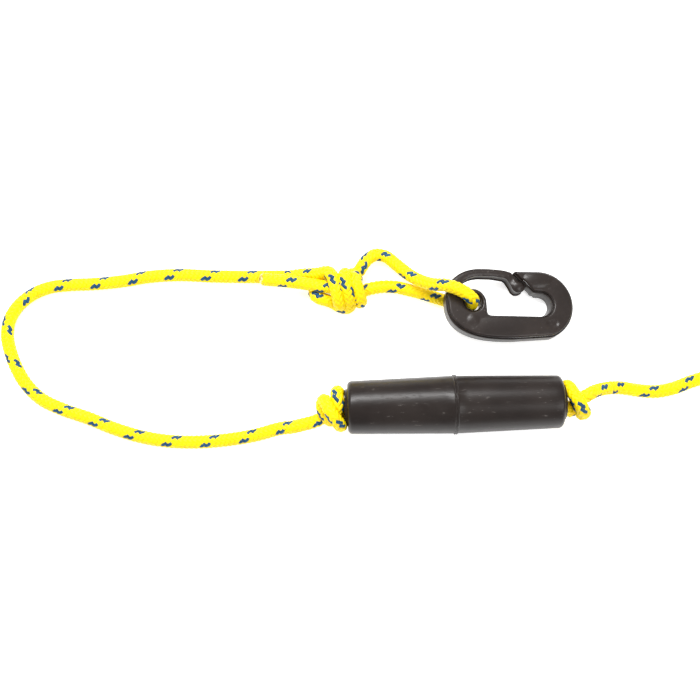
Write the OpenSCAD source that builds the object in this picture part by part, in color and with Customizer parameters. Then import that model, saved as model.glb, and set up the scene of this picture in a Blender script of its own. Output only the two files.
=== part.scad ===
// Floating tow line: a moulded snap hook, a braided rope and a hollow hand float between two knots.
// It lies on a flat surface. +X runs along the float, +Z is up, and z = 0 is the surface.

/* [Rope] */
// Diameter of the braided rope
rope_d = 6.6; // [5:0.1:7]
// Number of flat sides on the swept rope tubes
rope_sides = 10; // [8:1:12]
// Length of the overhand knot that stops the float
stopper_length = 14; // [12:0.5:16]
// Diameter of the overhand knot that stops the float
stopper_d = 22.6; // [20:0.2:24]

/* [Hand float] */
// Length of the float without its end bosses
float_length = 113; // [110:0.2:118]
// Diameter at the middle, where the two cups are welded
float_mid_d = 30.6; // [30:0.2:31.4]
// Diameter at each end
float_end_d = 28; // [27:0.2:29]
// Wall of the outer shell
float_wall = 2; // [1.6:0.1:2.6]
// Radius on the outer edge of each end
float_edge_r = 2.4; // [1:0.2:3]
// Diameter of the raised boss on each end
boss_d = 19.6; // [17:0.2:21]
// Height of the boss above the end face
boss_h = 1.5; // [1:0.1:2]
// Bore that the rope runs through
float_bore_d = 7.6; // [7.2:0.1:8.4]
// Wall of the sleeve around the bore
sleeve_wall = 1.4; // [1:0.1:2]
// How far the weld flash stands out of the shell
weld_out = 0.65; // [0.4:0.05:0.8]
// Width of the weld flash
weld_width = 2; // [1.4:0.1:2.4]

/* [Snap hook] */
// Thickness of the hook's frame
hook_t = 9; // [8.6:0.1:9.2]
// Depth of the gate arm, measured across the frame's thickness
gate_t = 7.6; // [7:0.1:8]
// Radius of the rope eye
eye_r = 4.2; // [4.1:0.05:4.4]
// Wall between the rope eye and the window
eye_wall = 3.3; // [3:0.1:3.5]
// Outer radius of the bow
bow_r = 18.9; // [18.5:0.1:19]
// Inner radius of the bow, where a ring or bar sits
seat_r = 6.6; // [6.2:0.1:6.8]
// Tilt of the resting hook: the rope under its eye lifts that end
hook_tilt = 7; // [7:0.1:7.4]
// Radius of the knuckle at the gate's flexing root
knuckle_r = 1.95; // [1.8:0.05:2]
// Gap between the knuckle and its seat
knuckle_gap = 0.1; // [0.08:0.01:0.15]

/* [Stowed coil] */
// Mean diameter of the coil's turns
coil_mean_d = 72; // [66:1:76]
// Turns side by side
coil_columns = 2; // [2:1:2]
// Turns on top of each other
coil_layers = 3; // [3:1:3]
// Thickness of the strap that holds the coil
tie_t = 1; // [0.8:0.1:1]
// Width of the strap that holds the coil
tie_w = 12; // [8:1:16]

/* [Hidden] */
$fn = 96;

plastic_color = [0.17, 0.155, 0.15];
rope_color = [1, 0.9, 0.05];
seal_color = [0.86, 0.78, 0.45];
strap_color = [0.1, 0.1, 0.11];

rope_r = rope_d / 2;
float_half = float_length / 2;
float_z = float_mid_d / 2 + weld_out;
// The origin is under the middle of the box around the hook and the float
float_x = -4.53;
float_y = -29.2;
float_axis = [float_x, float_y, float_z];

hook_length = 70.8;
hook_at = [float_x + 67.3, float_y + 35.1, 0];
eye_at = [15.1, 20.7];
gate_pivot = [5.2, 30.6];
bow_at = [51.9, 19.2];
seat_at = [52.6, 19.4];
shoulder_at = [19.1, 21.8];
shoulder_a = 19.1;
shoulder_b = 17;
heel_a = 36;
heel_b = 21.8;
heel_power = 2.6;
corner_r = 2;
corner_at = [24.7, 15.4];
// The gate's back is a long flat arc
gate_back_r = 80;
gate_tip_x = 36.9;
gate_inner_at = [20.2, 21.5];
gate_inner_a = 16.3;
gate_inner_b = 14.8;
gate_inset = (hook_t - gate_t) / 2;

coil_at = [float_x + 188, float_y + 52, 0];
coil_out_r = coil_mean_d / 2 + rope_d * coil_columns / 2;
coil_in_r = coil_out_r - rope_d * coil_columns;
coil_h = rope_d + 5.6 * (coil_layers - 1);
fit_gap = 0.1;

// Routes of the rope's centre line, relative to the point under the middle of the float.
// Around the eye, from the left of the upper leg, down through the eye, back to the left
bight_route = [
    [-7.3, 65.5, 17.4], [-2.4, 64.2, 20.4], [2.2, 62.4, 21.7], [7, 60, 21.7],
    [10.1, 57.8, 20.6], [12.4, 56.2, 18.1], [12.9, 55.8, 14.6], [12.4, 55.8, 9.4],
    [11.8, 55.9, 6.2], [9.6, 56.7, 3.8], [6.8, 57.5, 3.3], [0, 59.7, 3.3], [-7.2, 62.05, 3.3]
];
upper_leg_route = [
    [-49, 71, 13.4], [-47, 78, 9.6], [-43.5, 84.3, 6.5], [-38.5, 87.2, 5], [-33, 85.8, 5],
    [-27, 80, 7], [-20, 73, 10], [-14, 68.7, 13], [-8, 65.7, 16.9]
];
lower_leg_route = [
    [-8, 62.3, 3.3], [-15, 64.9, 3.3], [-22, 66.9, 3.4], [-30, 68.2, 4.2], [-38, 68.2, 5.2], [-49, 66.4, 7.4]
];
tail_route = [[-74, 70.4, 9], [-83, 71.2, 8.4], [-92, 71.8, 7.9], [-101, 72, 7.7]];
leader_route = [
    [-74, 74, 3.8], [-86, 75.8, 3.3], [-102, 76.6, 3.3], [-115, 77, 3.3], [-131, 77.8, 3.3],
    [-148, 79, 3.3], [-165, 78.4, 3.3], [-179, 76.4, 3.3], [-195, 75.2, 3.3], [-209, 75, 3.3],
    [-220, 73.8, 3.3], [-229.5, 70, 3.3], [-237, 63.6, 3.3], [-241.3, 56, 3.3], [-242.3, 48, 3.3],
    [-240.6, 39.4, 3.3], [-236.4, 28.8, 3.3], [-230.4, 19.2, 3.3], [-222, 11.2, 3.3], [-210.5, 5.4, 3.3],
    [-197, 0.4, 3.3], [-182, -6, 3.3], [-168, -10.6, 3.3], [-153, -13.5, 3.3], [-137, -14.4, 3.3],
    [-121, -13.6, 3.3], [-106, -11.5, 3.4], [-93, -8.6, 5.2], [-85.5, -8.2, 7.2], [-80, -7.2, 9.2], [-70, -4.5, 11]
];
runout_route = [
    [69, 2.2, 15.8], [74.3, 5, 15], [79, 6.5, 12.6], [84, 7.6, 9.4], [91, 8, 6], [102, 6.6, 3.4], [110.5, 5.9, 3.3],
    [120, 7.4, 3.3], [130, 10.8, 3.3], [139, 13, 3.4], [150, 13.3, 3.8], [161, 13, 4.2], [172, 12.9, 4.3]
];
rope_end_route = [[204.4, 23.6, 15.6], [210.5, 30.5, 14.8], [212.3, 40.5, 12], [209, 50, 8.6], [202, 55.5, 6.6], [194, 57, 6]];
end_knot_at = [185.5, 57.5];

function unit(v) = v / norm(v);
function arc(at, r, from, to, steps) = [
    for (i = [0:steps]) at + r * [cos(from + (to - from) * i / steps), sin(from + (to - from) * i / steps)]
];
function oval(at, a, b, from, to, steps) = [
    for (i = [0:steps]) let (t = from + (to - from) * i / steps) at + [a * cos(t), b * sin(t)]
];
// Direction of a route at each of its points
function tangents(p) = [
    for (i = [0:len(p) - 1]) unit(p[min(i + 1, len(p) - 1)] - p[max(i - 1, 0)])
];
// A side direction at each point that turns no more than the route does
function sides(t, first) = [
    for (i = 0, n = first; i < len(t); i = i + 1, n = i < len(t) ? unit(n - (n * t[i]) * t[i]) : n)
        unit(n - (n * t[i]) * t[i])
];

// A rope as a tube with one ring at each point of its route
module rope_tube(route) {
    count = len(route);
    t = tangents(route);
    n = sides(t, abs(t[0].z) > 0.9 ? [1, 0, 0] : [0, 0, 1]);
    points = [
        for (i = [0:count - 1])
            for (k = [0:rope_sides - 1])
                let (a = 360 * k / rope_sides)
                    route[i] + rope_r * (cos(a) * n[i] + sin(a) * cross(t[i], n[i]))
    ];
    last = (count - 1) * rope_sides;
    faces = concat(
        [[for (k = [0:rope_sides - 1]) k]],
        [
            for (i = [0:count - 2])
                for (k = [0:rope_sides - 1])
                    let (a = i * rope_sides + k, b = i * rope_sides + (k + 1) % rope_sides)
                        [a, a + rope_sides, b]
        ],
        [
            for (i = [0:count - 2])
                for (k = [0:rope_sides - 1])
                    let (a = i * rope_sides + k, b = i * rope_sides + (k + 1) % rope_sides)
                        [b, a + rope_sides, b + rope_sides]
        ],
        [[for (k = [rope_sides - 1:-1:0]) last + k]]
    );
    translate([float_x, float_y, 0])
        polyhedron(points = points, faces = faces);
}

// An overhand knot's outer shape, a rounded barrel along X with flat ends
module knot_barrel() {
    flat_r = 8.6;
    round_r = stopper_d / 2 - flat_r;
    half = stopper_length / 2;
    rotate([0, 90, 0])
        rotate_extrude()
            polygon(concat(
                [[0, -half]],
                arc([flat_r, round_r - half], round_r, -90, 0, 6),
                arc([flat_r, half - round_r], round_r, 0, 90, 6),
                [[0, half]]
            ));
}

// A melted and pinched rope end, along X towards -X
module melted_end() {
    rotate([0, -90, 0])
        rotate_extrude()
            union() {
                square([rope_r - 0.4, 1]);
                translate([0, 0.6])
                    square([rope_r - 1.2, 1]);
            }
}

// Places a shape drawn in the hook's own plane on the resting hook
module on_hook() {
    translate(hook_at)
        rotate([0, hook_tilt, 0])
            translate([-hook_length, 0, 0])
                children();
}

// The frame's outline, from the bottom of the bow round to the heel
hook_outline = concat(
    arc(bow_at, bow_r, -72, 90, 36),
    [[39, 38.1], [38.4, 37.3], [41.7, 33.4], [43.8, 32.1], [45.4, 29.9], [49, 26.2]],
    arc(seat_at, seat_r, 90, -90, 24),
    arc(corner_at, corner_r, 270, 180, 6),
    arc(eye_at, eye_r + eye_wall, 0, 140, 20),
    [[6.9, 28.6], gate_pivot, [3.2, 29.73]],
    oval(shoulder_at, shoulder_a, shoulder_b, 153, 180, 6),
    [
        for (i = [1:17])
            let (x = heel_a * pow(i / 18, 1.6))
                [x, heel_b * (1 - pow(1 - pow(1 - x / heel_a, heel_power), 1 / heel_power))]
    ],
    [[heel_a, 0]]
);

// The gate arm's outline, from its root along the back to the latch head and back underneath
gate_outline = concat(
    [gate_pivot + [-1.1, 1.61]],
    oval(shoulder_at, shoulder_a, shoulder_b, 142, 90, 14),
    [
        for (x = [20.5:3:35.5])
            [x, shoulder_at.y + shoulder_b - gate_back_r
                + sqrt(pow(gate_back_r, 2) - pow(x - shoulder_at.x - 3, 2))]
    ],
    [
        [gate_tip_x, 36.9], [38, 34.9], [39.9, 32.4], [42, 31.4], [43.9, 29.3], [43.4, 28.2],
        [42.2, 27.2], [40, 26.9], [38.4, 28], [37.2, 30.8], [35.2, 34.2], [33.6, 35.2], [27, 36.2]
    ],
    oval(gate_inner_at, gate_inner_a, gate_inner_b, 90, 136, 10),
    [gate_pivot + [1.4, -1.35]]
);

module hook_body() {
    color(plastic_color)
        on_hook()
            difference() {
                linear_extrude(hook_t)
                    polygon(hook_outline);
                translate([eye_at.x, eye_at.y, -1])
                    cylinder(r = eye_r, h = hook_t + 2);
                translate([gate_pivot.x, gate_pivot.y, -1])
                    cylinder(r = knuckle_r + knuckle_gap, h = hook_t + 2);
            }
}

module hook_gate() {
    color(plastic_color)
        on_hook()
            translate([0, 0, gate_inset])
                union() {
                    linear_extrude(gate_t)
                        polygon(gate_outline);
                    translate([gate_pivot.x, gate_pivot.y, 0])
                        cylinder(r = knuckle_r, h = gate_t);
                }
}

module rope_bight() {
    color(rope_color)
        rope_tube(bight_route);
}

module loop_legs() {
    color(rope_color) {
        rope_tube(upper_leg_route);
        rope_tube(lower_leg_route);
    }
}

// One cup of the float, with its open end at x = 0: a tapered shell, an end wall with a boss and a sleeve
module float_cup() {
    r_mid = float_mid_d / 2;
    r_end = float_end_d / 2;
    bore_r = float_bore_d / 2;
    rotate([0, 90, 0])
        rotate_extrude()
            difference() {
                union() {
                    polygon(concat(
                        [[0, 0], [r_mid, 0]],
                        arc([r_end - float_edge_r, float_half - float_edge_r], float_edge_r, 0, 90, 8),
                        [[0, float_half]]
                    ));
                    square([boss_d / 2, float_half + boss_h]);
                }
                translate([-1, -1])
                    square([bore_r + 1, float_half + boss_h + 2]);
                polygon([
                    [bore_r + sleeve_wall, -1], [r_mid - float_wall, -1],
                    [r_end - float_wall, float_half - float_wall - float_edge_r],
                    [r_end - float_wall - float_edge_r, float_half - float_wall],
                    [bore_r + sleeve_wall, float_half - float_wall]
                ]);
            }
}

module float_cup_left() {
    color(plastic_color)
        translate(float_axis)
            mirror([1, 0, 0])
                float_cup();
}

module float_cup_right() {
    color(plastic_color)
        translate(float_axis)
            float_cup();
}

// The flash that the spin weld squeezes out, a thin ring on the shell
module weld_bead() {
    color(plastic_color)
        translate(float_axis)
            rotate([0, 90, 0])
                rotate_extrude()
                    polygon([
                        [float_mid_d / 2, -weld_width / 2], [float_mid_d / 2 + weld_out, -weld_width / 5],
                        [float_mid_d / 2 + weld_out, weld_width / 5], [float_mid_d / 2, weld_width / 2]
                    ]);
}

module hook_knot() {
    color(rope_color)
        translate([float_x, float_y, 0])
            hull() {
                translate([-67, 69.5, 9.4])
                    sphere(r = 9.3, $fn = 32);
                translate([-66, 63, 8.4])
                    sphere(r = 8.3, $fn = 32);
                translate([-54, 65.5, 9.4])
                    sphere(r = 9.3, $fn = 32);
                translate([-54, 61, 8.2])
                    sphere(r = 8.1, $fn = 32);
            }
}

module rope_tail() {
    color(rope_color)
        rope_tube(tail_route);
}

module tail_seal() {
    color(seal_color)
        translate([float_x, float_y, 0] + tail_route[len(tail_route) - 1])
            melted_end();
}

module rope_leader() {
    color(rope_color)
        rope_tube(leader_route);
}

module stopper_knot_left() {
    color(rope_color)
        translate(float_axis - [float_half + boss_h + 0.4 + stopper_length / 2, 0, 1])
            knot_barrel();
}

module rope_core() {
    core_half = float_half + boss_h + 0.4;
    color(rope_color)
        translate(float_axis - [core_half, 0, 0])
            rotate([0, 90, 0])
                cylinder(d = rope_d, h = 2 * core_half);
}

module stopper_knot_right() {
    color(rope_color)
        translate(float_axis + [float_half + boss_h + 0.4 + stopper_length / 2, 0, -1])
            knot_barrel();
}

module rope_runout() {
    color(rope_color)
        rope_tube(runout_route);
}

module rope_coil() {
    color(rope_color)
        translate(coil_at + [0, 0, tie_t + fit_gap])
            rotate_extrude()
                translate([coil_in_r, 0])
                    square([coil_out_r - coil_in_r, coil_h]);
}

// A strap round the coil's bundle of turns, on the side away from the float
module coil_tie() {
    bundle = coil_out_r - coil_in_r;
    color(strap_color)
        translate(coil_at + [coil_in_r - tie_t - 0.6, -tie_w / 2, 0])
            difference() {
                cube([bundle + 2 * tie_t + 1.6, tie_w, coil_h + 2 * (tie_t + fit_gap)]);
                translate([tie_t, -1, tie_t])
                    cube([bundle + 1.6, tie_w + 2, coil_h + 2 * fit_gap]);
            }
}

module rope_end() {
    color(rope_color)
        rope_tube(rope_end_route);
}

module end_knot() {
    color(rope_color)
        translate([float_x + end_knot_at.x, float_y + end_knot_at.y, stopper_d / 2])
            knot_barrel();
}

module end_seal() {
    color(seal_color)
        translate([float_x + end_knot_at.x - stopper_length / 2, float_y + end_knot_at.y, 6])
            melted_end();
}

hook_body();
hook_gate();
rope_bight();
float_cup_left();
float_cup_right();
weld_bead();
loop_legs();
hook_knot();
rope_tail();
tail_seal();
rope_leader();
stopper_knot_left();
rope_core();
stopper_knot_right();
rope_runout();
rope_coil();
coil_tie();
rope_end();
end_knot();
end_seal();
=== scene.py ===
# %% [markdown]
# # A floating tow line with its snap hook
# A yellow braided line carries a black plastic snap hook at one end and a hollow black float, which is
# also the handle, between two knots. This lesson dresses the engineering model of it: every piece sits
# in the same frame as that model, in metres, with X along the line's long way and Z up from the table.
# The rope is the hard part, so the rope comes first, and the mouldings come after it.

# %% Load the engineering model
import bpy
import math
import numpy as np
from mathutils import Matrix, Vector
from mathutils.geometry import delaunay_2d_cdt


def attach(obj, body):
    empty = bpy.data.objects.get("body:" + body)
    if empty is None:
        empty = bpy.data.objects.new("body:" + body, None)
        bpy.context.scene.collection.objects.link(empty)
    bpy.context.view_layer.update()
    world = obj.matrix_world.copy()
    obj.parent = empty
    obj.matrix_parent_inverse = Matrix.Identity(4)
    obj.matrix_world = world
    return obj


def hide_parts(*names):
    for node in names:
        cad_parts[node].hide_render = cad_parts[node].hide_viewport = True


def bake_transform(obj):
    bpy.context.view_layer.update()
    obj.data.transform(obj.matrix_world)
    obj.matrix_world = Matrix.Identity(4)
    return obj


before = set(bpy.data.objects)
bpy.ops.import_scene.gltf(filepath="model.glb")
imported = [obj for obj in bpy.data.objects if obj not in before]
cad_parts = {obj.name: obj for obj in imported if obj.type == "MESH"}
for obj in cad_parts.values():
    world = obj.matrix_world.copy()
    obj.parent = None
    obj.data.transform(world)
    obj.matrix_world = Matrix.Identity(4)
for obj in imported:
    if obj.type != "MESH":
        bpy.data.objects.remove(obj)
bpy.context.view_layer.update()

# %% [markdown]
# The engineering drawing measures from the point of the table under the middle of the float. All the
# listed points below use the same point, in millimetres, and `place` turns them into the frame's
# metres. That keeps the numbers short and the same as a ruler on the bench would give.

# %% One ruler for the whole lesson
FLOAT_FOOT = np.array([-4.53, -29.2, 0.0])
MM = 0.001


def place(points):
    return (np.asarray(points, float) + FLOAT_FOOT) * MM


FLOAT_HALF = 56.5
FLOAT_Z = 15.95
print("the float's middle is at", place([0, 0, FLOAT_Z]).round(5).tolist())

# %% [markdown]
# The camera stands almost straight over the line, 12 degrees off the vertical, and is turned a little in
# its own plane. Building the camera from a target, a height and that small roll is clearer than typing
# a matrix, because each number can be changed on its own and still means something.

# %% The camera
target = Vector(place([-54.35, 33.33, 5.0]))
elevation, distance, roll = math.radians(78), 0.560, math.radians(1.63)
back = Vector((0, -math.cos(elevation), math.sin(elevation)))
right = Vector((1, 0, 0))
up = back.cross(right)
axis_x = right * math.cos(roll) - up * math.sin(roll)
axis_y = up * math.cos(roll) + right * math.sin(roll)
camera_data = bpy.data.cameras.new("bench_camera")
camera_data.lens = 52.84
camera_data.sensor_width = 36
camera_data.clip_start = 0.01
camera = bpy.data.objects.new("bench_camera", camera_data)
bpy.context.scene.collection.objects.link(camera)
where = target + back * distance
camera.matrix_world = Matrix((
    (axis_x.x, axis_y.x, back.x, where.x),
    (axis_x.y, axis_y.y, back.y, where.y),
    (axis_x.z, axis_y.z, back.z, where.z),
    (0, 0, 0, 1),
))
bpy.context.scene.camera = camera
print("camera at", [round(v, 4) for v in where])

# %% [markdown]
# Node materials read badly as long lists of links. A small class wraps one socket, so that ordinary
# sums on values add the Math nodes by themselves, and a `Finish` makes any other node in one call: its
# type, its settings, then the values or links of its sockets.

# %% Shader maths as Python expressions
class Value:
    def __init__(self, finish, socket):
        self.finish = finish
        self.socket = socket

    def _math(self, kind, *others):
        return self.finish.node("ShaderNodeMath", {"operation": kind}, dict(enumerate((self, *others)))).out(0)

    def __add__(self, other):
        return self._math("ADD", other)

    __radd__ = __add__

    def __rsub__(self, other):
        return self.finish.node("ShaderNodeMath", {"operation": "SUBTRACT"}, {0: other, 1: self}).out(0)

    def __mul__(self, other):
        return self._math("MULTIPLY", other)

    __rmul__ = __mul__

    def above(self, edge, soft):
        ramp = self.finish.node(
            "ShaderNodeMapRange", {"interpolation_type": "SMOOTHSTEP", "clamp": True},
            {"Value": self, "From Min": edge - soft, "From Max": edge + soft},
        )
        return ramp.out("Result")


class Node:
    def __init__(self, finish, node):
        self.finish = finish
        self.node = node

    def out(self, key=0):
        return Value(self.finish, self.node.outputs[key])


class Finish:
    def __init__(self, name, **constants):
        self.material = bpy.data.materials.new(name)
        self.material.use_nodes = True
        self.tree = self.material.node_tree
        self.shader = self.tree.nodes["Principled BSDF"]
        for key, value in constants.items():
            self.shader.inputs[key.replace("_", " ")].default_value = value

    def node(self, kind, settings=None, sockets=None):
        made = self.tree.nodes.new(kind)
        for key, value in (settings or {}).items():
            setattr(made, key, value)
        for key, value in (sockets or {}).items():
            if isinstance(value, Value):
                self.tree.links.new(value.socket, made.inputs[key])
            elif value is not None:
                made.inputs[key].default_value = value
        return Node(self, made)

    def feed(self, key, value):
        self.tree.links.new(value.socket, self.shader.inputs[key])

    def mix(self, mask, low, high):
        made = self.tree.nodes.new("ShaderNodeMix")
        made.data_type = "RGBA"
        for index, value in ((0, mask), (6, low), (7, high)):
            if isinstance(value, Value):
                self.tree.links.new(value.socket, made.inputs[index])
            else:
                made.inputs[index].default_value = value
        return Value(self, made.outputs[2])

    def bump(self, height, strength, distance):
        sockets = {"Height": height, "Strength": strength, "Distance": distance}
        return self.node("ShaderNodeBump", {}, sockets).out("Normal")

    def noise(self, scale, detail, roughness, vector):
        sockets = {"Scale": scale, "Detail": detail, "Roughness": roughness, "Vector": vector}
        return self.node("ShaderNodeTexNoise", {}, sockets).out(0)

    def object_point(self):
        return self.node("ShaderNodeTexCoord").out("Object")

    def stretched(self, vector, scale):
        return self.node("ShaderNodeMapping", {}, {"Vector": vector, "Scale": scale}).out("Vector")


print("shader helper ready")

# %% [markdown]
# The rope is polypropylene: each carrier of the braid is a flat bundle of fine, shiny, slightly waxy
# filaments. A filament is far too thin to model, so fine streaks along each carrier go into the bump, the
# gloss and, weakly, the colour. The streaks follow the carrier because the mesh gives each carrier a
# flat map of its own: along it, and across it.

# %% Rope finishes
def rope_finish(name, deep, bright, gloss):
    finish = Finish(name, Roughness=0.42, Specular_IOR_Level=gloss)
    flat = finish.node("ShaderNodeUVMap", {"uv_map": "carrier"}).out("UV")
    streaks = finish.noise(1.0, 3.0, 0.65, finish.stretched(flat, (2.2, 26.0, 1.0)))
    cloud = finish.noise(260.0, 2.0, 0.5, finish.object_point())
    mask = (streaks * 0.75 + cloud * 0.25).above(0.5, 0.22)
    finish.feed("Base Color", finish.mix(mask, deep, bright))
    finish.feed("Roughness", 0.34 + (1 - mask) * 0.22)
    finish.feed("Normal", finish.bump(streaks, 0.55, 0.00012))
    return finish.material


rope_yellow = rope_finish("rope_yellow", (0.93, 0.60, 0.0, 1), (1.0, 0.86, 0.0, 1), 0.25)
rope_blue = rope_finish("rope_blue", (0.003, 0.022, 0.07, 1), (0.012, 0.11, 0.24, 1), 0.3)
print("rope finishes made")

# %% [markdown]
# The route of the rope is a list of bench points, and a rope runs through them as one smooth curve. A
# centripetal Catmull-Rom curve goes through every point without overshooting, which a plain spline does
# where the points are unevenly spaced. It is then cut into equal steps, because a braid has equal steps.

# %% From bench points to an even line
def smooth_line(points, step):
    points = np.asarray(points, float)
    ends = np.vstack([2 * points[0] - points[1], points, 2 * points[-1] - points[-2]])
    fine = []
    for a, b, c, d in zip(ends, ends[1:], ends[2:], ends[3:]):
        knots = np.cumsum([0.0] + [max(np.linalg.norm(v), 1e-9) ** 0.5 for v in (b - a, c - b, d - c)])
        t = np.linspace(knots[1], knots[2], 24, endpoint=False)[:, None]
        ab = (knots[1] - t) / (knots[1] - knots[0]) * a + (t - knots[0]) / (knots[1] - knots[0]) * b
        bc = (knots[2] - t) / (knots[2] - knots[1]) * b + (t - knots[1]) / (knots[2] - knots[1]) * c
        cd = (knots[3] - t) / (knots[3] - knots[2]) * c + (t - knots[2]) / (knots[3] - knots[2]) * d
        left = (knots[2] - t) / (knots[2] - knots[0]) * ab + (t - knots[0]) / (knots[2] - knots[0]) * bc
        over = (knots[3] - t) / (knots[3] - knots[1]) * bc + (t - knots[1]) / (knots[3] - knots[1]) * cd
        share = (t - knots[1]) / (knots[2] - knots[1])
        fine.append((knots[2] - t) / (knots[2] - knots[1]) * left + share * over)
    return even_line(np.vstack(fine + [points[-1:]]), step)


def even_line(points, step):
    along = lengths(points)
    count = max(2, int(round(along[-1] / step)) + 1)
    at = np.linspace(0, along[-1], count)
    return np.stack([np.interp(at, along, points[:, k]) for k in range(3)], axis=1)


def lengths(points):
    return np.concatenate([[0.0], np.cumsum(np.linalg.norm(np.diff(points, axis=0), axis=1))])


LEADER = [
    (-74, 74, 3.8), (-86, 75.8, 3.4), (-102, 76.6, 3.4), (-115, 77, 3.4), (-131, 77.8, 3.4),
    (-148, 79, 3.4), (-165, 78.4, 3.4), (-179, 76.4, 3.4), (-195, 75.2, 3.4), (-209, 75, 3.4),
    (-220, 73.8, 3.4), (-229.5, 70, 3.4), (-237, 63.6, 3.4), (-241.3, 56, 3.4), (-242.3, 48, 3.4),
    (-240.6, 39.4, 3.4), (-236.4, 28.8, 3.4), (-230.4, 19.2, 3.4), (-222, 11.2, 3.4), (-210.5, 5.4, 3.4),
    (-197, 0.4, 3.4), (-182, -6, 3.4), (-168, -10.6, 3.4), (-153, -13.5, 3.4), (-137, -14.4, 3.4),
    (-121, -13.6, 3.4), (-106, -11.5, 3.5), (-93, -8.6, 5.2), (-85.5, -8.2, 7.2), (-80, -7.2, 9.2),
]
RUN_OUT = [
    (69, 2.2, 15.8), (74.3, 5, 15), (79, 6.5, 12.6), (84, 7.6, 9.4), (91, 8, 6), (102, 6.6, 3.5),
    (110.5, 5.9, 3.4), (120, 7.4, 3.4), (130, 10.8, 3.4), (139, 13, 3.5), (150, 13.3, 3.8),
    (161, 13, 4.2), (172, 12.9, 4.3),
]
ROPE_END = [
    (204.4, 23.6, 15.6), (210.5, 30.5, 14.8), (212.3, 40.5, 12), (209, 50, 8.6), (202, 55.5, 6.6), (194, 57, 6),
]
HOOK_LOOP = [
    (-33, 85.8, 5), (-27, 80, 7), (-20, 73, 10), (-14, 68.7, 13), (-8, 65.7, 16.9), (-2.4, 64.2, 20.5),
    (2.2, 62.4, 21.8), (7, 60, 21.8), (10.1, 57.8, 20.6), (12.4, 56.2, 18.1), (12.9, 55.8, 14.6),
    (12.4, 55.8, 9.4), (11.8, 55.9, 6.2), (9.6, 56.7, 3.9), (6.8, 57.5, 3.4), (0, 59.7, 3.4),
    (-7.5, 62.2, 3.4), (-15, 64.9, 3.4), (-22, 66.9, 3.5),
]
for name, points in (("leader", LEADER), ("run-out", RUN_OUT), ("hook loop", HOOK_LOOP)):
    print(name, round(lengths(smooth_line(points, 2))[-1], 1), "mm")

# %% [markdown]
# The rest of the line is stowed in a flat coil of three layers, two turns wide. It is wound as a hand
# winds it: round the outside, a step in, round the inside, a step up, and so on, so that each layer lies
# on the one below. Every step is made in the last fifth of a turn, before the line meets its own start.

# %% The coil's line
COIL_AT = np.array([188.0, 52.0, 0.0])
TURNS = ((39.3, 4.5), (32.7, 4.5), (32.7, 10.1), (39.3, 10.1), (39.3, 15.7), (32.7, 15.7))
STEP_FROM, STEP_OVER = 0.80, 0.2


def coil_line(step):
    angles = np.arange(-90, -90 + 360 * len(TURNS) + 28, 1.5)
    turn = (angles + 90) / 360
    index = np.minimum(turn.astype(int), len(TURNS) - 1)
    ease = np.clip((turn - index - STEP_FROM) / STEP_OVER, 0, 1)
    ease = ease * ease * (3 - 2 * ease)
    here = np.array([TURNS[i] for i in index])
    following = np.array([TURNS[min(i + 1, len(TURNS) - 1)] for i in index])
    radius, height = (here + (following - here) * ease[:, None]).T
    radians = np.radians(angles)
    points = np.stack([radius * np.cos(radians), radius * np.sin(radians), height], axis=1) + COIL_AT
    return even_line(points, step)


coil = coil_line(2.0)
print("coil", round(lengths(coil)[-1]), "mm, from", coil[0].round(1), "to", coil[-1].round(1))

# %% [markdown]
# The braid is made of sixteen carriers, eight each way round, and each passes over two and under two.
# A bump map could suggest that, but the outline of a real braid is knobbly and its flecks are single
# carriers, so here every carrier is a real ribbon. Numbering the crossings along the rope makes the
# weave exact: where a left-hand carrier meets a right-hand one, their numbers say which is on top.

# %% A braided rope as a mesh
PITCH = 20.5
CARRIERS = 8
CARRIER_R = 3.0
BRAID_STEP = 0.66
LOOP_STEP = 0.7
COIL_STEP = 1.15
WEAVE = 0.24
RIBBON_W = 2.27
RIBBON_T = 0.82
RIBBON = np.array([(-1, -0.5), (-0.66, 0.2), (0, 0.5), (0.66, 0.2), (1, -0.5)]) * (RIBBON_W / 2, RIBBON_T)


def unit(vectors):
    return vectors / np.maximum(np.linalg.norm(vectors, axis=-1, keepdims=True), 1e-12)


def travel_frames(line):
    ahead = unit(np.gradient(line, axis=0))
    normal = np.zeros_like(line)
    first = np.array([0.0, 0.0, 1.0]) if abs(ahead[0][2]) < 0.9 else np.array([1.0, 0.0, 0.0])
    for i, direction in enumerate(ahead):
        first = first - direction * first.dot(direction)
        first = first / np.linalg.norm(first)
        normal[i] = first
    return ahead, normal, np.cross(ahead, normal)


def mesh_object(name, vertices, faces, materials, slots=None, flat=None, smooth=True):
    mesh = bpy.data.meshes.new(name)
    width = faces.shape[1]
    mesh.vertices.add(len(vertices))
    mesh.vertices.foreach_set("co", np.ascontiguousarray(vertices, np.float32).ravel())
    mesh.loops.add(faces.size)
    mesh.loops.foreach_set("vertex_index", np.ascontiguousarray(faces, np.int32).ravel())
    mesh.polygons.add(len(faces))
    mesh.polygons.foreach_set("loop_start", np.arange(0, faces.size, width, dtype=np.int32))
    mesh.polygons.foreach_set("use_smooth", np.full(len(faces), smooth))
    for material in materials:
        mesh.materials.append(material)
    if slots is not None:
        mesh.polygons.foreach_set("material_index", np.ascontiguousarray(slots, np.int32))
    if flat is not None:
        flat_map = np.ascontiguousarray(flat[faces.ravel()], np.float32)
        mesh.uv_layers.new(name="carrier").data.foreach_set("uv", flat_map.ravel())
    mesh.update()
    mesh.validate()
    made = bpy.data.objects.new(name, mesh)
    bpy.context.scene.collection.objects.link(made)
    return made


def grid_faces(rings, across):
    i, j = np.meshgrid(np.arange(rings - 1), np.arange(across - 1), indexing="ij")
    a = (i * across + j).ravel()
    return np.stack([a, a + 1, a + across + 1, a + across], axis=1)


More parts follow.
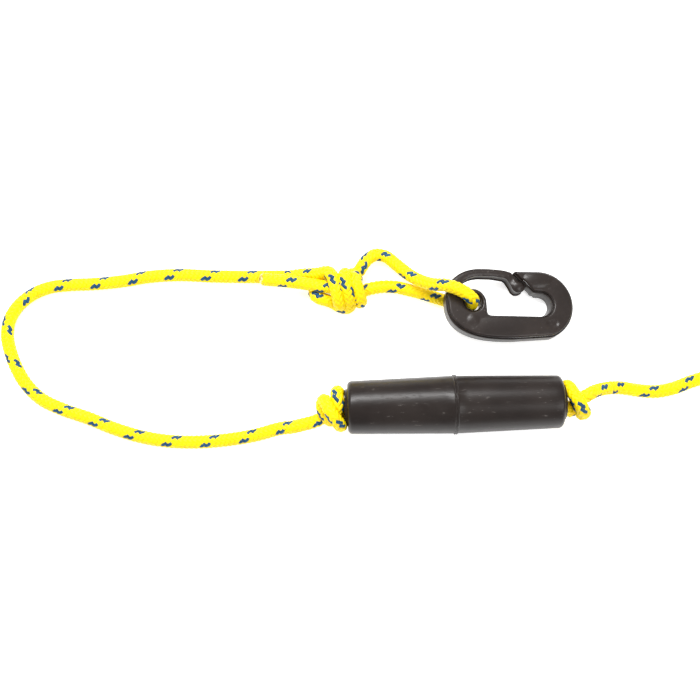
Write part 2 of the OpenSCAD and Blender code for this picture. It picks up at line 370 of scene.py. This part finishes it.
def braid(name, line, turn=0.0, start=0.0):
    ahead, normal, side = travel_frames(line)
    along = lengths(line) + start
    crossing = 2 * CARRIERS * along / PITCH
    vertices, faces, slots, flat = [], [], [], []
    for hand in (-1, 1):
        for k in range(CARRIERS):
            angle = 2 * np.pi * (k / CARRIERS + turn + hand * along / PITCH)
            phase = 2 * k + hand * crossing - (0.5 if hand < 0 else 2.5)
            lift = np.tanh(1.5 * np.cos(np.pi * phase / 2)) / np.tanh(1.5)
            out = np.cos(angle)[:, None] * normal + np.sin(angle)[:, None] * side
            centre = line + (CARRIER_R + WEAVE * lift)[:, None] * out
            run = unit(np.gradient(centre, axis=0))
            wide = unit(np.cross(run, out))
            tall = np.cross(wide, run)
            ring = centre[:, None] + RIBBON[None, :, :1] * wide[:, None] + RIBBON[None, :, 1:] * tall[:, None]
            faces.append(grid_faces(len(line), len(RIBBON)) + sum(len(v) for v in vertices))
            vertices.append(ring.reshape(-1, 3))
            slots.append(np.full(len(faces[-1]), 1 if hand < 0 and k < 2 else 0))
            across = np.linspace(0, 1, len(RIBBON)) + 1.37 * (k + 8 * (hand > 0))
            flat.append(np.stack(np.meshgrid(along / 5, across, indexing="ij"), axis=-1).reshape(-1, 2))
    made = mesh_object(
        name, place(np.vstack(vertices)), np.vstack(faces), [rope_yellow, rope_blue],
        np.concatenate(slots), np.vstack(flat),
    )
    print(name, round(along[-1] - start, 1), "mm,", len(made.data.polygons), "faces")
    return made


# %% [markdown]
# A knot is not a shape that anyone draws: it is what is left when a loose tangle is pulled tight. So each
# knot starts as a line with the right crossings, given point by point for the knots in view, and a small solver
# pulls it. In turn it evens out the bends, pushes apart any two stretches that lie closer than a diameter,
# and keeps the rope's length. The result is the same on every run, because nothing in it is random.

# %% Pulling a knot tight
def pull_tight(strands, thickness, link, steps, ends, soft=0.25):
    sizes = np.array([len(s) for s in strands])
    points = np.concatenate(strands).astype(float)
    first = np.cumsum(sizes) - sizes
    last = first + sizes - 1
    owner = np.repeat(np.arange(len(sizes)), sizes)
    index = np.arange(len(points))
    near = int(np.ceil(1.6 * thickness / link))
    apart = (owner[:, None] != owner[None]) | (np.abs(index[:, None] - index[None]) > near)
    one, other = np.nonzero(np.triu(apart))
    begin = [np.concatenate([np.arange(a + odd, b, 2) for a, b in zip(first, last)]) for odd in (0, 1)]
    held = np.concatenate([[a, b] for a, b in zip(first, last)])
    held_from = points[held].copy()
    held_to = np.array([end for pair in ends for end in pair], float)
    free = np.setdiff1d(index, held)
    loose = np.linalg.norm(np.diff(points, axis=0), axis=1)[begin[0]].mean()
    for step in range(steps):
        share = min(1.0, step / (steps * 0.8))
        now = loose + (link - loose) * share
        points[free] += soft * ((points[free - 1] + points[free + 1]) / 2 - points[free])
        gap = points[other] - points[one]
        size = np.linalg.norm(gap, axis=1)
        close = size < thickness
        push = ((thickness - size[close]) / np.maximum(size[close], 1e-6))[:, None] * gap[close] / 2
        moved, count = np.zeros_like(points), np.zeros(len(points))
        for which, sign in ((one[close], -1), (other[close], 1)):
            np.add.at(moved, which, sign * push)
            np.add.at(count, which, 1)
        points += moved / np.maximum(1, count * 0.55)[:, None]
        for _ in range(6):
            for a in begin:
                v = points[a + 1] - points[a]
                size = np.linalg.norm(v, axis=1, keepdims=True)
                v *= 0.5 * (size - now) / size
                points[a] += v
                points[a + 1] -= v
        points[held] = held_from + (held_to - held_from) * share
    gap = np.linalg.norm(points[other] - points[one], axis=1).min()
    print("knot pulled: nearest stretches", round(gap, 2), "mm apart")
    return [points[a:b + 1] for a, b in zip(first, last)]

# %% [markdown]
# Every knot on this line has bedded down in its own way, so each is laid out first, one by one: a strand is
# led over and under through a few bench points, which fixes what lies on top. Then the solver settles it,
# so that stretches which were laid too close press each other apart, as real rope does.

# %% Settle a laid-out knot
ROPE_FLOOR = 3.45


def settled(strands, thickness=6.1, step=1.1, steps=90, soft=0.08):
    laid = []
    for points in strands:
        line = smooth_line(points, 0.5)
        laid.append(even_line(line, step))
    real = np.mean([lengths(line)[-1] / (len(line) - 1) for line in laid])
    pulled = pull_tight(laid, thickness, real, steps, [(line[0], line[-1]) for line in laid], soft)
    return [np.maximum(line, (-1e9, -1e9, ROPE_FLOOR)) for line in pulled]


LEFT_KNOT = [
    (-93, -8.6, 5.2), (-85.5, -8.2, 7.2), (-80, -7.2, 9.2), (-74.1, -6, 9.4), (-69.3, -3.5, 9),
    (-65.1, 1, 8.4), (-62.1, 6, 9.8), (-61.5, 8.4, 14), (-61.7, 7.6, 19.4), (-62.1, 3.4, 22.4),
    (-62.3, -1.5, 21.4), (-63.3, -5, 18), (-65.5, -6.2, 15), (-67.9, -3.8, 14.4), (-69.7, -0.3, 15.6),
    (-69.3, 3.4, 18.8), (-67.3, 2.8, 22.6), (-65.7, -1.3, 24.8), (-63.1, -6, 23.6), (-61, -9, 18.8),
    (-60.7, -8.6, 13.6), (-60.3, -4.8, 11), (-58.7, -1.4, 13.6), (-54.1, 0, 15.8), (-48, 0, 15.95),
    (-30, 0, 15.95), (-0.5, 0, 15.95),
]
RIGHT_KNOT = [
    (0.5, 0, 15.95), (30, 0, 15.95), (50, 0, 15.95), (55.1, -0.4, 15.3), (59.3, -2.8, 14),
    (62.5, -4.4, 10.4), (65.9, -1.2, 8), (65.4, 4, 8.6), (62.4, 7.4, 11), (60.1, 8.2, 15.4),
    (60.1, 6.9, 19.8), (61.8, 2.6, 22.8), (64.6, -2.2, 23.2), (66.2, -5.2, 21), (67.9, -6.3, 16.6),
    (67, -6, 13), (65.2, -3.4, 13.4), (64.6, 0.4, 15.4), (68, 1.6, 18.2), (71, 3.2, 18.6), (74.3, 5, 16),
    (79, 6.5, 13), (84, 7.6, 9.6),
]
left_line = settled([LEFT_KNOT])[0]
right_line = settled([RIGHT_KNOT])[0]
print("left stopper", round(lengths(left_line)[-1]), "mm, right", round(lengths(right_line)[-1]), "mm")

# %% [markdown]
# The knot at the hook is an overhand in the doubled line. The standing line and its short tail come in
# on the left, one on the other. They make the three upright wraps and the low lobe on the left, and
# leave on the right as the two legs of the hook's loop.

# %% The doubled knot at the hook
STANDING = [
    (-86, 76.3, 3.4), (-80, 76.9, 4.2), (-74.5, 76.4, 6.4), (-69.5, 75.8, 9.6), (-65.3, 75.6, 13),
    (-62.6, 71.5, 16), (-61, 66, 17), (-59.6, 60.4, 14.6), (-58.2, 57.2, 9.6), (-57.4, 60, 5),
    (-56.4, 66, 3.6), (-54.4, 71.4, 4.6), (-51.6, 73.2, 9), (-50.6, 71, 13.4), (-49.8, 66, 15.4),
    (-48.8, 61, 13.2), (-48.2, 59, 8.6), (-49, 62, 4.6), (-46.5, 66.2, 4.4), (-41, 67.8, 5),
    (-34, 68.6, 4.8), (-27, 68.2, 4),
]
SHORT_END = [
    (-101, 73.4, 9.2), (-92, 72.5, 9.4), (-83, 71.1, 9.6), (-76, 69.8, 9.8), (-70, 68.5, 10.2),
    (-65, 67.6, 10.4), (-60.4, 67, 10), (-56.2, 67.8, 9.4), (-54, 71, 10), (-55.6, 74, 13.4),
    (-56.2, 70.5, 17.2), (-55.2, 65, 17.4), (-54.2, 60, 14.6), (-53.8, 57.4, 9.4), (-56.6, 58.8, 5.2),
    (-62, 61.4, 5.6), (-68, 61.6, 6.6), (-72.4, 63.6, 6.2), (-73.2, 67, 4.6), (-69, 70.6, 3.4),
    (-62, 72.6, 3.4), (-55, 74.2, 3.6), (-49.5, 75.8, 5), (-47, 79, 6.4), (-43.5, 84.3, 5.6),
    (-38.5, 87.2, 5),
]
standing_line, short_line = settled([STANDING, SHORT_END], 5.8)
both = np.vstack([standing_line, short_line])
print("hook knot reaches", both.min(0).round(1), both.max(0).round(1))

# %% [markdown]
# Nobody laid the last knot, at the far end of the stowed line, with any care: it is just pulled tight. So
# it starts as the loose pretzel that every knot book draws, here a short polynomial, and shrinks.

# %% A pulled overhand for the far end
def overhand(reach=60.0, extra=80.0, step=1.1):
    t = np.linspace(-1.98, 1.98, 300)
    loop = np.stack([t**3 - 3 * t, 0.8 * (t**4 - 4 * t**2) + 1.6, 0.12 * (t**5 - 10 * t)], axis=1) * 5
    lead = np.linspace([-reach, 0, 0], loop[0], 30)[:-1]
    curve = np.vstack([lead, loop, np.linspace(loop[-1], [reach, 0, 0], 30)[1:]])
    count = int((2 * reach + extra) / step) + 1
    start = even_line(curve, lengths(curve)[-1] / (count - 1))
    return pull_tight([start], 5.7, step, 900, [((-reach, 0, 0), (reach, 0, 0))])[0]


END_KNOT = np.array([185.5, 57.5, 11.3])
end_knot = overhand() * (0.74, 1.0, 0.95)
end_knot = end_knot[np.abs(end_knot[:, 0]) < 8.5] + END_KNOT

# %% Make every stretch of the rope
leader_line = smooth_line([tuple(standing_line[0])] + LEADER[2:-2] + [LEFT_KNOT[1]], BRAID_STEP)
leader_line = leader_line[:-6]
left_line = even_line(left_line, BRAID_STEP)
left_line = left_line[np.argmin(np.linalg.norm(left_line - leader_line[-1], axis=1)):]
leader = braid("tow_line", leader_line, 0.10)
left_stop = braid("stopper_left", left_line, 0.10, lengths(leader_line)[-1])
right_stop = braid("stopper_right", even_line(right_line, BRAID_STEP), 0.30)
knot_standing = braid("hook_knot_standing", even_line(standing_line, BRAID_STEP), 0.4)
knot_short = braid("hook_knot_short", even_line(short_line, BRAID_STEP), 0.7)
loop_line = smooth_line([tuple(short_line[-1])] + HOOK_LOOP + [tuple(standing_line[-1])], LOOP_STEP)
hook_loop = braid("hook_loop", loop_line, 0.2)

visible_run = smooth_line([tuple(right_line[-1])] + RUN_OUT[4:], LOOP_STEP)
fine_coil = coil_line(COIL_STEP)
end_line = smooth_line([tuple(fine_coil[-8])] + ROPE_END[1:], 1.0)
run_line = np.vstack([visible_run, fine_coil[4:-8], end_line])
run_out = braid("run_out_and_coil", run_line, 0.15)
before = np.array(ROPE_END[-2:])
end_stop = braid("end_knot_braid", smooth_line(np.vstack([before, end_knot[::-3]]), LOOP_STEP))

# %% [markdown]
# Each piece is told which body of the model carries it and which plain solid it stands for. The loop
# through the hook's eye starts on the line and ends on the hook; it is attached to no body and stays
# fixed where it is laid, and the plain solids it stands for are hidden.

# %% What carries each stretch
for piece, body, nodes in (
    (leader, "rope", ["rope_leader"]),
    (left_stop, "rope", ["stopper_knot_left", "rope_core"]),
    (right_stop, "rope", ["stopper_knot_right"]),
    (knot_standing, "rope", ["hook_knot"]),
    (knot_short, "rope", ["hook_knot", "rope_tail"]),
    (run_out, "rope", ["rope_runout", "rope_coil", "rope_end"]),
    (end_stop, "rope", ["end_knot"]),
):
    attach(piece, body)
    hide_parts(*nodes)
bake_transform(hook_loop)
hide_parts("loop_legs", "rope_bight")

print("run-out and coil", round(lengths(run_line)[-1]), "mm")

# %% [markdown]
# The mouldings are polypropylene too, black with a little brown in it. Their skin is satin: it mirrors
# the room softly, and fine handling marks break that up. The marks go into the roughness and the bump,
# and the colour only drifts a little, since a moulded colour runs right through the plastic.

# %% Moulded plastic
def plastic(name, dark, light, shine, scratch, stretch):
    finish = Finish(name, Specular_IOR_Level=shine)
    point = finish.object_point()
    drift = finish.noise(45.0, 3.0, 0.55, point)
    marks = finish.noise(900.0, 3.0, 0.6, finish.stretched(point, stretch))
    grain = finish.noise(2600.0, 2.0, 0.5, point)
    scuffs = marks.above(0.68, 0.03) * drift.above(0.5, 0.1) * 0.6
    skin = finish.mix(drift.above(0.5, 0.2), dark, light)
    finish.feed("Base Color", finish.mix(scuffs, skin, (0.11, 0.095, 0.088, 1)))
    finish.feed("Roughness", 0.28 + drift * 0.1 + marks.above(0.62, 0.08) * 0.14)
    finish.feed("Normal", finish.bump(marks * 0.7 + grain * 0.3, scratch, 0.00006))
    return finish.material


hook_plastic = plastic(
    "hook_plastic", (0.017, 0.012, 0.0105, 1), (0.025, 0.018, 0.0155, 1), 0.36, 0.35, (1, 1, 1),
)
float_plastic = plastic(
    "float_plastic", (0.013, 0.009, 0.0078, 1), (0.020, 0.0145, 0.0125, 1), 0.28, 0.5, (0.25, 1, 1),
)
print("mouldings' finishes made")

# %% [markdown]
# The strap is woven webbing: two waves at right angles, one along the strap and one across it, give the
# threads. The melted ends are rope that has been held in a flame, so they are paler, glassy and lumpy.

# %% Webbing and melted rope
def webbing():
    finish = Finish("tie_strap", Roughness=0.8, Specular_IOR_Level=0.2)
    point = finish.object_point()
    threads = [
        finish.node(
            "ShaderNodeTexWave", {"bands_direction": way}, {"Scale": scale, "Distortion": 0.4, "Vector": point},
        ).out(1)
        for way, scale in (("X", 190.0), ("Y", 120.0))
    ]
    weave = threads[0] * threads[1]
    finish.feed("Base Color", finish.mix(weave, (0.012, 0.012, 0.014, 1), (0.06, 0.06, 0.066, 1)))
    finish.feed("Normal", finish.bump(weave, 0.8, 0.0004))
    return finish.material


def melted_rope():
    finish = Finish("melted_end", Specular_IOR_Level=0.5)
    lumps = finish.noise(520.0, 3.0, 0.6, finish.object_point())
    finish.feed("Base Color", finish.mix(lumps.above(0.52, 0.12), (0.42, 0.27, 0.02, 1), (0.93, 0.80, 0.38, 1)))
    finish.feed("Roughness", 0.22 + lumps * 0.3)
    finish.feed("Normal", finish.bump(lumps, 0.7, 0.0004))
    return finish.material


strap = webbing()
melted = melted_rope()
print("webbing and melted rope made")

# %% [markdown]
# The hook is drawn flat, in a plane of its own, then tilted, because the rope under its eye lifts that
# end off the table. `on_hook` does the tilting. The outline is a chain of arcs with the nose between.

# %% The hook's outline
HOOK_LENGTH = 70.8
HOOK_AT = np.array([67.3, 35.1, 0.0])
HOOK_T = 9.0
TILT = math.radians(7)
EYE_AT = (15.1, 20.7)
EYE_R = 4.2


def on_hook(points):
    u, v, w = np.asarray(points, float).T
    x = (u - HOOK_LENGTH) * math.cos(TILT) + w * math.sin(TILT)
    z = w * math.cos(TILT) - (u - HOOK_LENGTH) * math.sin(TILT)
    return place(np.stack([x, v, z], axis=1) + HOOK_AT)


def arc(centre, a, b, start, stop, steps):
    t = np.radians(np.linspace(start, stop, steps + 1))
    return np.stack([centre[0] + a * np.cos(t), centre[1] + b * np.sin(t)], axis=1)


def closed_loop(points, step, passes=2):
    closed = np.vstack([points, points[:1]])
    points = even_line(np.column_stack([closed, np.zeros(len(closed))]), step)[:-1, :2]
    for _ in range(passes):
        points = points * 0.5 + (np.roll(points, 1, axis=0) + np.roll(points, -1, axis=0)) * 0.25
    return points


HEEL_A, HEEL_B, HEEL_POWER = 36, 21.8, 2.6
heel_x = HEEL_A * (np.arange(1, 19) / 18) ** 1.6
heel_y = HEEL_B * (1 - (1 - (1 - heel_x / HEEL_A) ** HEEL_POWER) ** (1 / HEEL_POWER))
FRAME = closed_loop(np.vstack([
    arc((51.9, 19.2), 18.9, 18.9, -72, 90, 36),
    [[39, 38.1], [38.4, 37.3], [41.7, 33.4], [43.8, 32.1], [45.4, 29.9], [49, 26.2]],
    arc((52.6, 19.4), 6.6, 6.6, 90, -90, 24),
    arc((24.7, 15.4), 2, 2, 270, 180, 6),
    arc(EYE_AT, 7.5, 7.5, 0, 140, 20),
    [[6.9, 28.6], [5.4, 29.6], [3.2, 29.73]],
    arc((19.1, 21.8), 19.1, 17, 153, 180, 6),
    np.column_stack([heel_x, heel_y]),
]), 0.5)
GATE = closed_loop(np.vstack([
    [[4.1, 32.2]],
    arc((19.1, 21.8), 19.1, 17, 142, 90, 14),
    [[24, 38.8], [29, 38.5], [33, 38], [35.6, 37.3], [36.9, 36.9], [38, 34.9], [39.9, 32.4], [42, 31.4]],
    [[43.9, 29.3], [43.4, 28.2], [42.2, 27.2], [40, 26.9], [38.4, 28], [37.2, 30.8], [35.2, 34.2]],
    [[33.6, 35.2], [27, 36.2]],
    arc((20.2, 21.5), 16.3, 14.8, 90, 136, 10),
    [[6.6, 29.3], [4.6, 29.6], [3.4, 30.8]],
]), 0.5)
print("frame outline", len(FRAME), "points, gate outline", len(GATE), "points")

# %% [markdown]
# A moulding of this kind is made between two mould halves. The side walls lean a little, so that it
# comes out of the mould; the top face stands proud of them behind a narrow groove; and its edge is
# rounded. The wall is a stack of rings round the outline. Each ring is pushed out along the outline's
# normals, and the face is a triangle net whose height depends on the distance from the edge.

# %% Walls and face of a flat moulding
def normals_2d(loop):
    ahead = np.roll(loop, -1, axis=0) - np.roll(loop, 1, axis=0)
    return unit(np.stack([ahead[:, 1], -ahead[:, 0]], axis=1))


def edge_distance(points, loops):
    nearest = np.full(len(points), 1e9)
    for loop in loops:
        for a, b in zip(loop, np.roll(loop, -1, axis=0)):
            run = b - a
            t = np.clip((points - a) @ run / max(run @ run, 1e-9), 0, 1)
            nearest = np.minimum(nearest, np.linalg.norm(points - a - t[:, None] * run, axis=1))
    return nearest


def inside(points, loops):
    odd = np.zeros(len(points), bool)
    for loop in loops:
        for a, b in zip(loop, np.roll(loop, -1, axis=0)):
            crosses = (a[1] > points[:, 1]) != (b[1] > points[:, 1])
            rise = b[1] - a[1] if b[1] != a[1] else 1e-9
            odd ^= crosses & (points[:, 0] < (b[0] - a[0]) * (points[:, 1] - a[1]) / rise + a[0])
    return odd


def face_net(loops, spacing):
    low = np.min([loop.min(0) for loop in loops], axis=0)
    high = np.max([loop.max(0) for loop in loops], axis=0)
    xs, ys = np.arange(low[0], high[0], spacing), np.arange(low[1], high[1], spacing * 0.87)
    grid = np.array([(x + spacing / 2 * (row % 2), y) for row, y in enumerate(ys) for x in xs])
    grid = grid[inside(grid, loops)]
    grid = grid[edge_distance(grid, loops) > 1.15]
    rows = [grid]
    for depth in (0.1, 0.3, 0.65, 1.0):
        for loop in loops:
            shifted = loop - normals_2d(loop) * depth
            shifted = shifted[inside(shifted, loops)]
            rows.append(shifted[edge_distance(shifted, loops) > depth * 0.93])
    free = np.vstack(rows)
    points, edges, at = [Vector(p) for p in np.vstack(loops + [free])], [], 0
    for loop in loops:
        edges += [(at + i, at + (i + 1) % len(loop)) for i in range(len(loop))]
        at += len(loop)
    found, _, faces, *_ = delaunay_2d_cdt(points, edges, [], 0, 1e-5)
    found = np.array([tuple(p) for p in found])
    faces = np.array([f for f in faces if len(f) == 3])
    return found, faces[inside(found[faces].mean(axis=1), loops)]


def moulding(name, loops, low, top, lean_in, lean_out, relief, material):
    vertices, faces = [], []
    rings = [
        (top - 0.9, -0.75, 1, 0), (top - 1.9, -0.8, 1, 0), (top - 2.1, -0.6, 0.7, 0), (top - 1.75, -0.42, 0.3, 0),
        (top - 1.5, -0.24, 0, 0), (top - 1.62, -0.04, 0, 0), (top - 2.0, 0, 0, 0.1), (low + 1.1, 0, 0, 1),
        (low + 0.4, -0.3, 0, 1), (low, -0.9, 0, 1),
    ]
    tops = []
    for loop in loops:
        out = normals_2d(loop)
        inner, outer = lean_in(loop), lean_out(loop)
        stack = []
        for height, shift, share_in, share_out in rings:
            flat = loop + out * (shift - inner * share_in + outer * share_out)[:, None]
            stack.append(np.column_stack([flat, np.full(len(flat), height)]))
        tops.append(stack[0][:, :2])
        count = len(loop)
        closed = np.stack([np.vstack([ring, ring[:1]]) for ring in stack])
        here = sum(len(v) for v in vertices)
        quads = grid_faces(len(rings), count + 1) + here
        faces.append(np.vstack([quads[:, [0, 1, 2]], quads[:, [0, 2, 3]]]))
        vertices.append(closed.reshape(-1, 3))
    flat, net = face_net(tops, 0.75)
    depth = np.minimum(edge_distance(flat, tops), 0.9)
    height = top - 0.9 + np.sqrt(np.maximum(0.81 - (0.9 - depth) ** 2, 0)) + relief(flat)
    faces.append(net + sum(len(v) for v in vertices))
    vertices.append(np.column_stack([flat, height]))
    made = mesh_object(name, on_hook(np.vstack(vertices)), np.vstack(faces), [material])
    print(name, len(made.data.polygons), "faces")
    return made


# %% [markdown]
# Small features sit on the faces: a button beside the eye, a swelling on the nose, and an oval recess
# near the bow. Each is a smooth bump of its own size, added to the face's height.

# %% The hook's body and gate
def swell(points, at, a, b, tall, steep=1.0):
    far = ((points[:, 0] - at[0]) / a) ** 2 + ((points[:, 1] - at[1]) / b) ** 2
    return tall * np.clip((1 - far) * steep, 0, 1) ** 0.7


def frame_relief(points):
    return (
        swell(points, (14.4, 10.7), 3.2, 3.0, 0.55) + swell(points, (51.5, 33.4), 8.0, 4.8, 1.0)
        - swell(points, (58.1, 8.6), 3.2, 2.1, 0.5, 4.0) + swell(points, (40, 7), 27, 6.5, 0.7)
    )


def heel_lean(loop):
    near = np.clip((16 - loop[:, 0]) / 8, 0, 1) * np.clip((24 - loop[:, 1]) / 4, 0, 1)
    return 0.55 * near


def window_lean(loop):
    u, v = loop.T
    window = (u > 21.5) & (u < 60) & (v > 12.2) & (v < 27.5)
    nose = (u < 50.5) & (v > 24)
    return np.where(window, 1.1, 0.0) * np.where(nose, 0.3, 1.0)


def no_lean(loop):
    return np.zeros(len(loop))


def latch_relief(points):
    return swell(points, (40.6, 30.2), 2.6, 2.4, 0.6) - swell(points, (37.2, 33.6), 1.4, 2.6, 0.5)


eye_loop = arc(EYE_AT, EYE_R + 0.3, EYE_R + 0.3, 360, 0, 48)[:-1]
GATE_INSET = 0.7
hook_frame = moulding(
    "hook_frame", [FRAME, eye_loop], 0.0, HOOK_T, heel_lean, window_lean, frame_relief, hook_plastic,
)
gate_arm = moulding(
    "gate_arm", [GATE], GATE_INSET, HOOK_T - GATE_INSET, no_lean, no_lean, latch_relief, hook_plastic,
)
for piece, body, node in ((hook_frame, "hook", "hook_body"), (gate_arm, "gate", "hook_gate")):
    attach(piece, body)
    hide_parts(node)

# %% [markdown]
# The float is turned round the rope: a profile from inside one bore, over the boss, the end and the long
# tapered shell, to the other bore. The two cups are spun against each other until they melt, and the
# melt that squeezes out freezes into a rough double bead, so the rings at the middle are uneven.

# %% The float
FLOAT_END_R, FLOAT_MID_R = 14.0, 15.3
BORE_R, BOSS_R, EDGE_R = 3.8, 9.8, 2.4


def float_profile():
    end_r, mid_r, edge, half = FLOAT_END_R, FLOAT_MID_R, EDGE_R, FLOAT_HALF
    side = [(BORE_R, half - 16), (BORE_R, half + 0.9), (4.4, half + 1.5), (9.2, half + 1.5)]
    side += [(9.7, half + 1.2), (BOSS_R, half + 0.3), (10.2, half), (11.4, half)]
    for t in np.linspace(0.1, 1.5, 7):
        side.append((end_r - edge + edge * math.sin(t), half - edge + edge * math.cos(t)))
    for k in np.linspace(0.06, 1, 12):
        side.append((end_r + (mid_r - end_r) * k, (half - edge) * (1 - k) + 1.3 * k))
    return np.array(side)


side = float_profile()
bead_x = np.array([0.95, 0.7, 0.45, 0.2, 0.0, -0.2, -0.45, -0.7, -0.95])
bead_r = np.array([0.15, 0.5, 0.55, 0.3, 0.15, 0.3, 0.55, 0.5, 0.15])
profile = np.vstack([side, np.column_stack([FLOAT_MID_R + bead_r, bead_x]), (side * (1, -1))[::-1]])
spin = np.radians(np.linspace(0, 360, 193))
rough = np.random.default_rng(11)
radius = np.repeat(profile[:, :1], len(spin), axis=1)
first_bead = len(side)
for k, tall in enumerate(bead_r):
    flakes = rough.uniform(-1, 1, len(spin) - 1)
    flakes = (flakes + np.roll(flakes, 1)) * 0.5
    radius[first_bead + k] += np.append(flakes, flakes[0]) * tall * 0.45
rings = np.stack([
    np.repeat(profile[:, 1:], len(spin), axis=1), radius * np.cos(spin), radius * np.sin(spin) + FLOAT_Z,
], axis=-1)
float_shell = mesh_object(
    "float_shell", place(rings.reshape(-1, 3)), grid_faces(len(profile), len(spin))[:, ::-1], [float_plastic],
)
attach(float_shell, "float")
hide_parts("float_cup_left", "float_cup_right", "weld_bead")
print("float", len(float_shell.data.polygons), "faces")

# %% [markdown]
# Each cut end of the rope was melted and pinched. The cap is a low lumpy dome, a little wider than the
# rope where the melt has run, and the ends of the carriers disappear into it.

# %% Melted caps and the strap
def melted_cap(name, at, seed, node):
    lumps = np.random.default_rng(seed)
    spin = np.radians(np.linspace(0, 360, 33))
    rows = []
    dome = ((0.8, 3.1), (0.3, 3.5), (-0.3, 3.55), (-1.0, 3.2), (-1.6, 2.4), (-2.0, 1.3), (-2.05, 0.05))
    for out, radius in dome:
        wobble = lumps.uniform(-0.35, 0.35, 32) * min(1, radius / 3)
        wobble = (wobble + np.roll(wobble, 1)) / 2
        r = radius + np.append(wobble, wobble[0])
        x = np.full(33, out) + 0.25 * np.cos(2 * spin)
        rows.append(np.stack([x, r * np.cos(spin), r * 0.92 * np.sin(spin)], axis=1))
    points = np.stack(rows).reshape(-1, 3) + at
    made = mesh_object(name, place(points), grid_faces(len(rows), 33), [melted])
    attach(made, "rope")
    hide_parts(node)


melted_cap("tail_cap", short_line[0], 3, "tail_seal")
melted_cap("end_cap", end_knot[0], 5, "end_seal")
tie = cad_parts["coil_tie"]
tie.data.materials.clear()
tie.data.materials.append(strap)
print("caps and strap done")

# %% Table and light
bpy.ops.mesh.primitive_plane_add(size=40, location=(0, 0, -0.0002))
table = bpy.context.object
table.name = "table"
pale = Finish("pale_table", Base_Color=(0.93, 0.93, 0.93, 1), Roughness=0.9)
pale.shader.inputs["Emission Color"].default_value = (1, 1, 1, 1)
pale.shader.inputs["Emission Strength"].default_value = 0.62
table.data.materials.append(pale.material)

world = bpy.data.worlds.new("soft_room")
world.use_nodes = True
world.node_tree.nodes["Background"].inputs[0].default_value = (1, 1, 1, 1)
world.node_tree.nodes["Background"].inputs[1].default_value = 0.48
bpy.context.scene.world = world


def soft_box(name, spot, size, power):
    data = bpy.data.lights.new(name, "AREA")
    data.shape = "RECTANGLE"
    data.size, data.size_y = size
    data.energy = power
    made = bpy.data.objects.new(name, data)
    made.location = spot
    made.rotation_euler = (Vector((-0.03, 0, 0)) - Vector(spot)).to_track_quat("-Z", "Y").to_euler()
    bpy.context.scene.collection.objects.link(made)


soft_box("key_box", (-0.25, 0.50, 1.0), (0.8, 0.25), 17)
soft_box("fill_box", (0.6, -0.5, 0.9), (0.5, 0.5), 4)
bpy.context.scene.view_settings.view_transform = "Standard"
